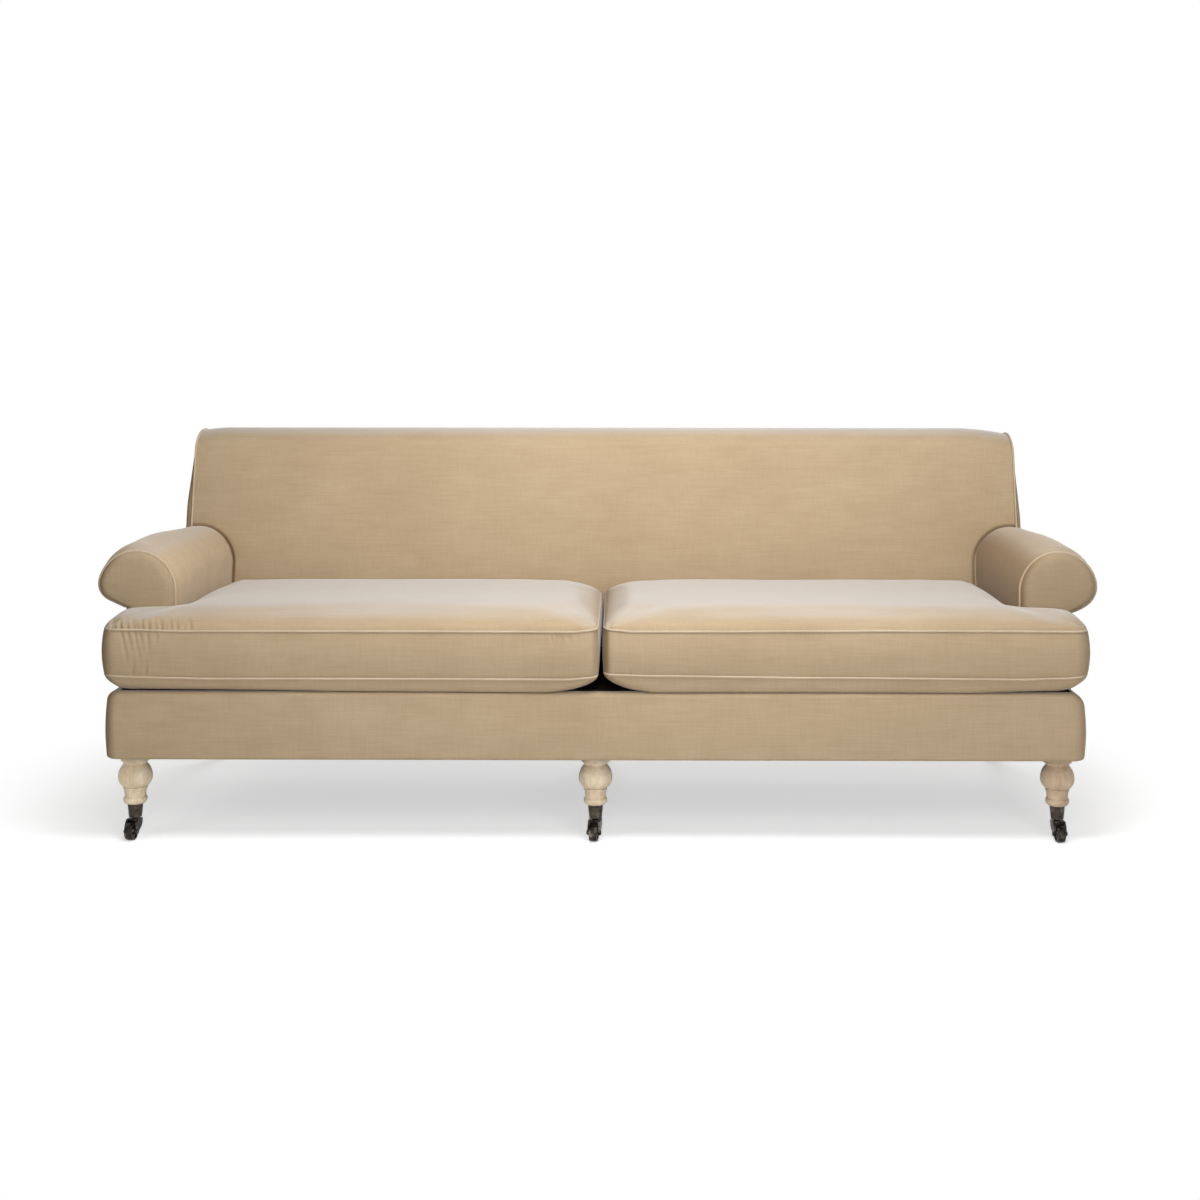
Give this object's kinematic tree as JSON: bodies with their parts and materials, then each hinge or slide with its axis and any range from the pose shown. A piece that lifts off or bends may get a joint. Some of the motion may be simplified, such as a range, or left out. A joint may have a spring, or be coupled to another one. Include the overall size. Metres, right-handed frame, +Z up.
{
  "type": "tight back sofa",
  "caption": "Upholstered sofa with rolled arms, a tight crowned back, loose T-shaped seat cushions with piping, turned front legs on swivel casters and plain rear legs.",
  "frame": {"origin": "centre of the overall box, on the floor", "axes": "+X to the right as seen from the front, along the width; -Y to the front; +Z up"},
  "size_m": [2.2288, 0.8789, 0.8736],
  "materials": {
    "velvet": "matte",
    "piping": "matte",
    "black_cloth": "matte",
    "frame_timber": "matte",
    "limed_oak": "satin",
    "aged_bronze": "satin",
    "spring_steel": "satin",
    "webbing": "matte",
    "nylon": "matte"
  },
  "bodies": {
    "sofa": {"arm_rear_boards": "frame_timber", "back_pad": "velvet", "back_posts": "frame_timber", "back_tack_rails": "frame_timber", "back_top_rail": "frame_timber", "back_webbing": "webbing", "center_caster_cup": "aged_bronze", "center_front_leg": "limed_oak", "center_rear_leg": "limed_oak", "dust_cover": "black_cloth", "front_border": "velvet", "front_rail": "frame_timber", "left_arm_front_board": "frame_timber", "left_arm_front_panel": "velvet", "left_arm_pad": "velvet", "left_arm_piping": "piping", "left_arm_rails": "frame_timber", "left_back_piping": "piping", "left_back_side_panel": "velvet", "left_caster_cup": "aged_bronze", "left_front_leg": "limed_oak", "left_outside_panel": "velvet", "left_rear_leg": "limed_oak", "left_side_rail": "frame_timber", "leg_blocks": "frame_timber", "leg_bolts": "spring_steel", "outside_back_panel": "velvet", "rear_glides": "nylon", "rear_rail": "frame_timber", "right_arm_front_board": "frame_timber", "right_arm_front_panel": "velvet", "right_arm_pad": "velvet", "right_arm_piping": "piping", "right_arm_rails": "frame_timber", "right_back_piping": "piping", "right_back_side_panel": "velvet", "right_caster_cup": "aged_bronze", "right_front_leg": "limed_oak", "right_outside_panel": "velvet", "right_rear_leg": "limed_oak", "right_side_rail": "frame_timber", "seat_deck": "black_cloth", "seat_springs": "spring_steel", "seat_stretchers": "frame_timber", "spring_clips": "spring_steel", "spring_rail": "frame_timber"},
    "left_caster_swivel": {"left_caster_fork": "aged_bronze", "left_caster_axle": "aged_bronze"},
    "left_caster_roller": {"left_caster_wheel": "aged_bronze"},
    "center_caster_swivel": {"center_caster_fork": "aged_bronze", "center_caster_axle": "aged_bronze"},
    "center_caster_roller": {"center_caster_wheel": "aged_bronze"},
    "right_caster_swivel": {"right_caster_fork": "aged_bronze", "right_caster_axle": "aged_bronze"},
    "right_caster_roller": {"right_caster_wheel": "aged_bronze"},
    "left_cushion": {"left_seat_cushion": "velvet", "left_cushion_piping": "piping"},
    "right_cushion": {"right_seat_cushion": "velvet", "right_cushion_piping": "piping"}
  },
  "joints": [
    {"name": "left_caster_swivel_turn", "type": "hinge", "parent": "sofa", "child": "left_caster_swivel", "pos_m": [-1.012, -0.36814, 0.0474], "axis": [0, 0, 1], "continuous": true},
    {"name": "left_caster_wheel_spin", "type": "hinge", "parent": "left_caster_swivel", "child": "left_caster_roller", "pos_m": [-1.01513, -0.38789, 0.0192], "axis": [0.9877, -0.1564, 0], "continuous": true},
    {"name": "center_caster_swivel_turn", "type": "hinge", "parent": "sofa", "child": "center_caster_swivel", "pos_m": [0, -0.36814, 0.0474], "axis": [0, 0, 1], "continuous": true},
    {"name": "center_caster_wheel_spin", "type": "hinge", "parent": "center_caster_swivel", "child": "center_caster_roller", "pos_m": [-0.00278, -0.38794, 0.0192], "axis": [0.9903, -0.1392, 0], "continuous": true},
    {"name": "right_caster_swivel_turn", "type": "hinge", "parent": "sofa", "child": "right_caster_swivel", "pos_m": [1.012, -0.36814, 0.0474], "axis": [0, 0, 1], "continuous": true},
    {"name": "right_caster_wheel_spin", "type": "hinge", "parent": "right_caster_swivel", "child": "right_caster_roller", "pos_m": [1.01305, -0.38811, 0.0192], "axis": [0.9986, 0.0523, 0], "continuous": true},
    {"name": "left_cushion_lift", "type": "slide", "parent": "sofa", "child": "left_cushion", "axis": [0, 0, 1], "range_m": [0, 0.3]},
    {"name": "right_cushion_lift", "type": "slide", "parent": "sofa", "child": "right_cushion", "axis": [0, 0, 1], "range_m": [0, 0.3]}
  ]
}
